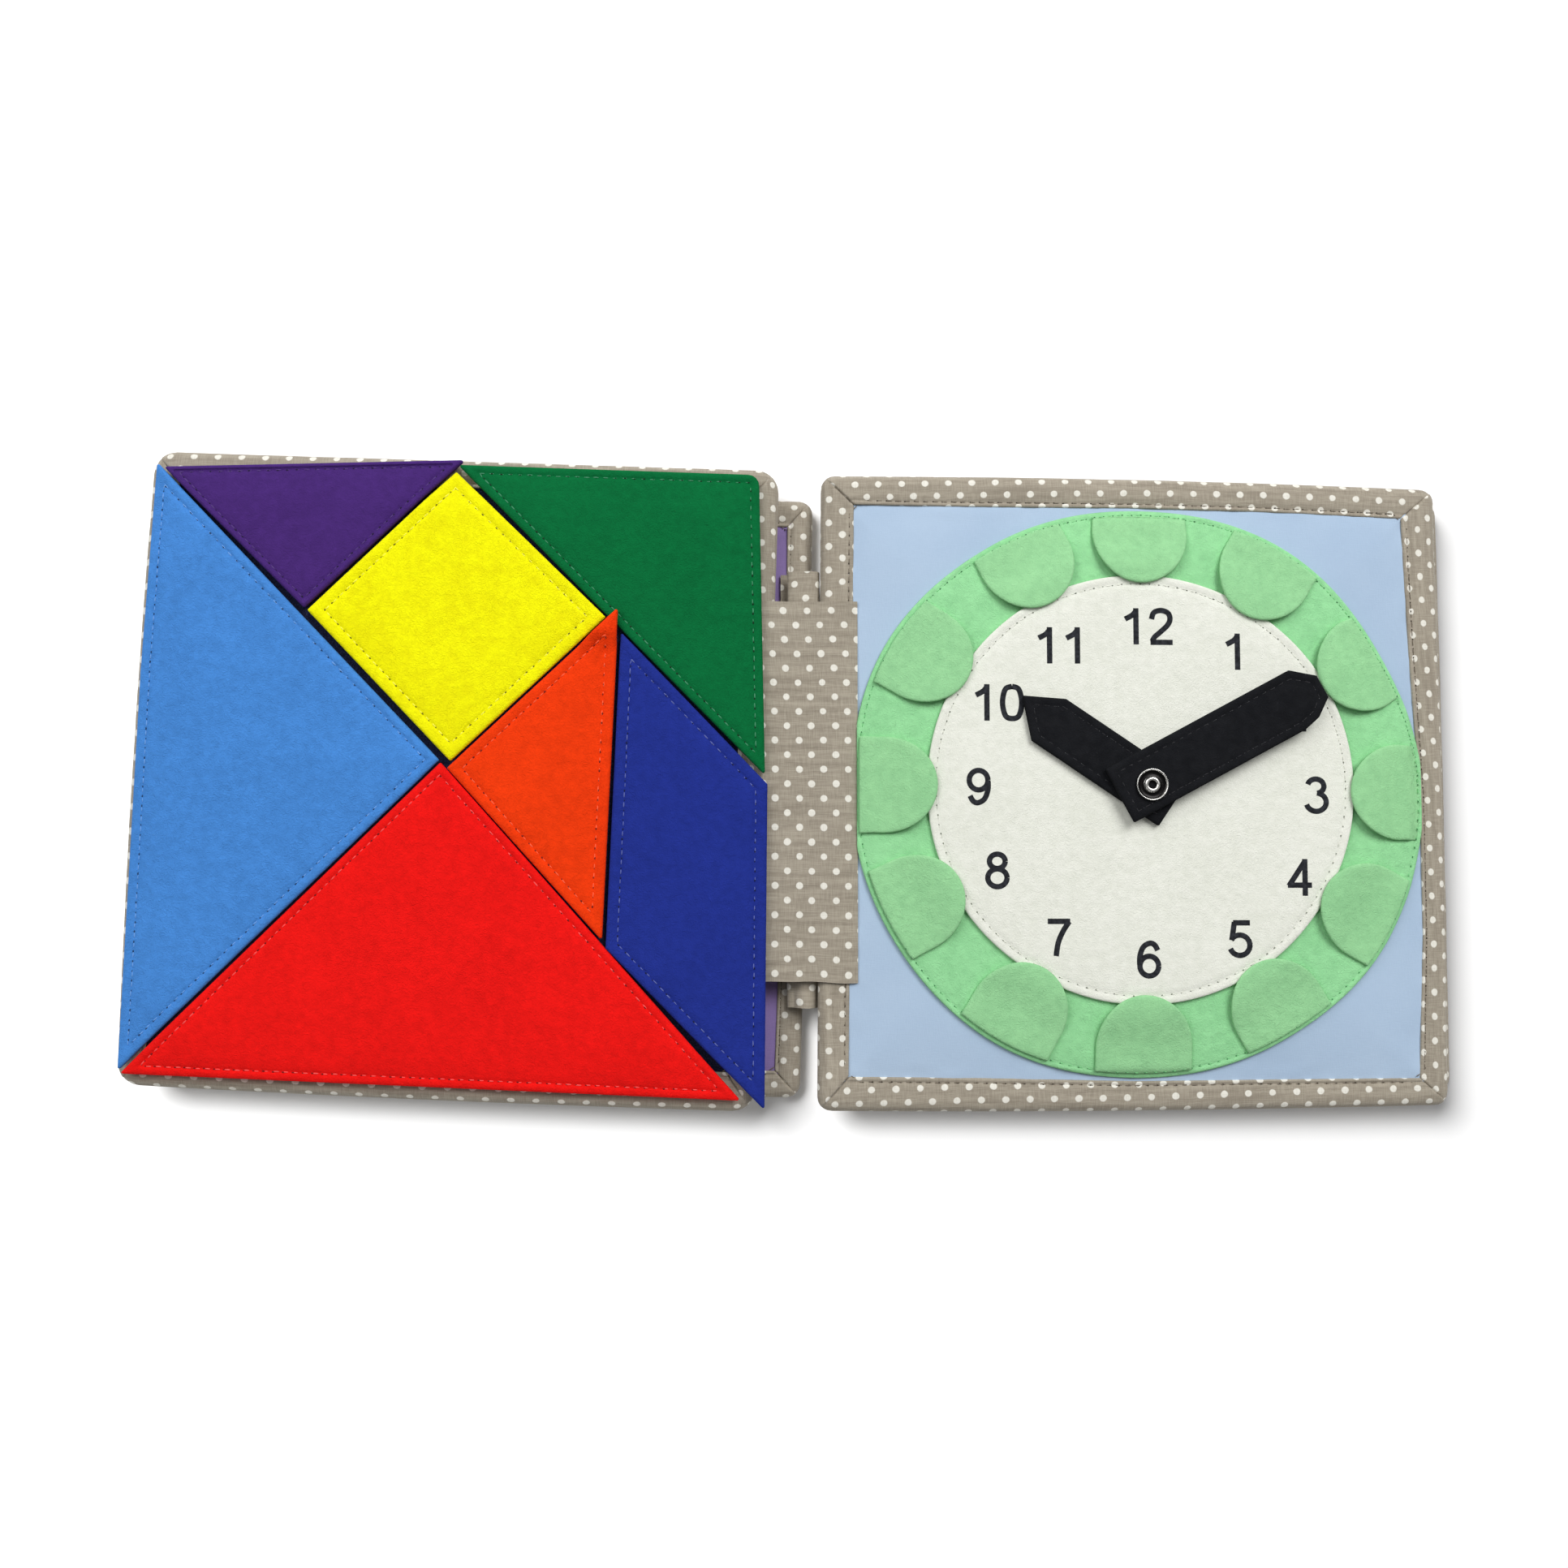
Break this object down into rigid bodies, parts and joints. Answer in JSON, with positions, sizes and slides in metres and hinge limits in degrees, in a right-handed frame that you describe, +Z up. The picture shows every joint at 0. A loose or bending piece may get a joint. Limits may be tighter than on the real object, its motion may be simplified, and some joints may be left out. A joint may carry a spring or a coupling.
{
  "type": "quiet book",
  "caption": "Open cloth quiet book of padded leaves joined by fabric hinge strips, with a lift-off felt tangram and a felt clock with turning hands and lift-up flaps.",
  "frame": {"origin": "middle of the open spread's footprint, on the surface it lies on", "axes": "+X across the spread towards the clock page, +Y towards the tops of the pages, +Z up out of the pages"},
  "size_m": [0.4264, 0.2084, 0.0276],
  "materials": {
    "wadding": "matte",
    "binding": "matte",
    "inner_page": "matte",
    "plain_page": "matte",
    "tangram_page": "matte",
    "clock_page": "matte",
    "hook_patch": "matte",
    "felt_light_blue": "matte",
    "felt_red": "matte",
    "felt_purple": "matte",
    "felt_yellow": "matte",
    "felt_green": "matte",
    "felt_orange": "matte",
    "felt_royal_blue": "matte",
    "felt_ring": "matte",
    "felt_flap": "matte",
    "felt_dial": "matte",
    "felt_hand": "matte",
    "metal": "satin"
  },
  "bodies": {
    "leaf_1": {"leaf_1_wadding": "wadding", "leaf_1_inner_page": "inner_page", "leaf_1_outer_cover": "plain_page", "leaf_1_binding": "binding", "hinge_strip_1": "binding", "hinge_strip_2": "binding"},
    "leaf_2": {"leaf_2_wadding": "wadding", "leaf_2_tangram_page": "tangram_page", "leaf_2_back_page": "plain_page", "leaf_2_binding": "binding"},
    "leaf_3": {"leaf_3_wadding": "wadding", "leaf_3_clock_page": "clock_page", "leaf_3_back_page": "plain_page", "leaf_3_binding": "binding", "clock_ring": "felt_ring", "clock_dial": "felt_dial", "rivet": "metal", "rivet_back_plate": "metal"},
    "leaf_4": {"leaf_4_wadding": "wadding", "leaf_4_inner_page": "inner_page", "leaf_4_outer_cover": "plain_page", "leaf_4_binding": "binding", "hinge_strip_3": "binding"},
    "hour_hand": {"hour_hand": "felt_hand"},
    "minute_hand": {"minute_hand": "felt_hand"},
    "flap_1": {"flap_1": "felt_flap"},
    "flap_2": {"flap_2": "felt_flap"},
    "flap_3": {"flap_3": "felt_flap"},
    "flap_4": {"flap_4": "felt_flap"},
    "flap_5": {"flap_5": "felt_flap"},
    "flap_6": {"flap_6": "felt_flap"},
    "flap_7": {"flap_7": "felt_flap"},
    "flap_8": {"flap_8": "felt_flap"},
    "flap_9": {"flap_9": "felt_flap"},
    "flap_10": {"flap_10": "felt_flap"},
    "flap_11": {"flap_11": "felt_flap"},
    "flap_12": {"flap_12": "felt_flap"},
    "tangram_light_blue": {"tangram_light_blue": "felt_light_blue", "tangram_light_blue_hook_patch": "hook_patch"},
    "tangram_red": {"tangram_red": "felt_red", "tangram_red_hook_patch": "hook_patch"},
    "tangram_purple": {"tangram_purple": "felt_purple", "tangram_purple_hook_patch": "hook_patch"},
    "tangram_yellow": {"tangram_yellow": "felt_yellow", "tangram_yellow_hook_patch": "hook_patch"},
    "tangram_green": {"tangram_green": "felt_green", "tangram_green_hook_patch": "hook_patch"},
    "tangram_orange": {"tangram_orange": "felt_orange", "tangram_orange_hook_patch": "hook_patch"},
    "tangram_royal_blue": {"tangram_royal_blue": "felt_royal_blue", "tangram_royal_blue_hook_patch": "hook_patch"}
  },
  "joints": [
    {"name": "leaf_2_turn", "type": "hinge", "parent": "leaf_1", "child": "leaf_2", "pos_m": [-0.001, -0.00345, 0.0223], "axis": [0, 1, 0], "range_deg": [0, 176], "deforming": ["hinge_strip_1", "hinge_strip_2"]},
    {"name": "leaf_4_turn", "type": "hinge", "parent": "leaf_1", "child": "leaf_4", "pos_m": [-0.001, -0.00345, 0.0223], "axis": [0, -1, 0], "range_deg": [0, 176]},
    {"name": "leaf_3_turn", "type": "hinge", "parent": "leaf_4", "child": "leaf_3", "pos_m": [-0.001, -0.00345, 0.0223], "axis": [0, -1, 0], "range_deg": [0, 176], "deforming": ["hinge_strip_3"]},
    {"name": "hour_hand_turn", "type": "hinge", "parent": "leaf_3", "child": "hour_hand", "pos_m": [0.1103, -0.00225, 0.0227], "axis": [0, 0, 1], "continuous": true},
    {"name": "minute_hand_turn", "type": "hinge", "parent": "leaf_3", "child": "minute_hand", "pos_m": [0.1103, -0.00225, 0.0252], "axis": [0, 0, 1], "continuous": true},
    {"name": "flap_1_lift", "type": "hinge", "parent": "leaf_3", "child": "flap_1", "pos_m": [0.15282, 0.07185, 0.0207], "axis": [-0.8625, 0.506, 0], "range_deg": [0, 170]},
    {"name": "flap_2_lift", "type": "hinge", "parent": "leaf_3", "child": "flap_2", "pos_m": [0.18384, 0.04072, 0.0207], "axis": [-0.503, 0.8643, 0], "range_deg": [0, 170]},
    {"name": "flap_3_lift", "type": "hinge", "parent": "leaf_3", "child": "flap_3", "pos_m": [0.19559, -0.0036, 0.0207], "axis": [0.0087, 1, 0], "range_deg": [0, 170]},
    {"name": "flap_4_lift", "type": "hinge", "parent": "leaf_3", "child": "flap_4", "pos_m": [0.18488, -0.04457, 0.0207], "axis": [0.4818, 0.8763, 0], "range_deg": [0, 170]},
    {"name": "flap_5_lift", "type": "hinge", "parent": "leaf_3", "child": "flap_5", "pos_m": [0.15373, -0.077, 0.0207], "axis": [0.8563, 0.5165, 0], "range_deg": [0, 170]},
    {"name": "flap_6_lift", "type": "hinge", "parent": "leaf_3", "child": "flap_6", "pos_m": [0.10854, -0.08944, 0.0207], "axis": [1, -0.0052, 0], "range_deg": [0, 170]},
    {"name": "flap_7_lift", "type": "hinge", "parent": "leaf_3", "child": "flap_7", "pos_m": [0.06635, -0.07822, 0.0207], "axis": [0.8704, -0.4924, 0], "range_deg": [0, 170]},
    {"name": "flap_8_lift", "type": "hinge", "parent": "leaf_3", "child": "flap_8", "pos_m": [0.0317, -0.04189, 0.0207], "axis": [0.4509, -0.8926, 0], "range_deg": [0, 170]},
    {"name": "flap_9_lift", "type": "hinge", "parent": "leaf_3", "child": "flap_9", "pos_m": [0.0224, -0.00209, 0.0207], "axis": [-0.0087, -1, 0], "range_deg": [0, 170]},
    {"name": "flap_10_lift", "type": "hinge", "parent": "leaf_3", "child": "flap_10", "pos_m": [0.03492, 0.04201, 0.0207], "axis": [-0.518, -0.8554, 0], "range_deg": [0, 170]},
    {"name": "flap_11_lift", "type": "hinge", "parent": "leaf_3", "child": "flap_11", "pos_m": [0.07022, 0.07459, 0.0207], "axis": [-0.8942, -0.4478, 0], "range_deg": [0, 170]},
    {"name": "flap_12_lift", "type": "hinge", "parent": "leaf_3", "child": "flap_12", "pos_m": [0.11036, 0.08374, 0.0207], "axis": [-0.9999, 0.0157, 0], "range_deg": [0, 170]},
    {"name": "tangram_light_blue_lift", "type": "slide", "parent": "leaf_2", "child": "tangram_light_blue", "axis": [0, 0, 1], "range_m": [0, 0.08]},
    {"name": "tangram_red_lift", "type": "slide", "parent": "leaf_2", "child": "tangram_red", "axis": [0, 0, 1], "range_m": [0, 0.08]},
    {"name": "tangram_purple_lift", "type": "slide", "parent": "leaf_2", "child": "tangram_purple", "axis": [0, 0, 1], "range_m": [0, 0.08]},
    {"name": "tangram_yellow_lift", "type": "slide", "parent": "leaf_2", "child": "tangram_yellow", "axis": [0, 0, 1], "range_m": [0, 0.08]},
    {"name": "tangram_green_lift", "type": "slide", "parent": "leaf_2", "child": "tangram_green", "axis": [0, 0, 1], "range_m": [0, 0.08]},
    {"name": "tangram_orange_lift", "type": "slide", "parent": "leaf_2", "child": "tangram_orange", "axis": [0, 0, 1], "range_m": [0, 0.08]},
    {"name": "tangram_royal_blue_lift", "type": "slide", "parent": "leaf_2", "child": "tangram_royal_blue", "axis": [0, 0, 1], "range_m": [0, 0.08]}
  ]
}
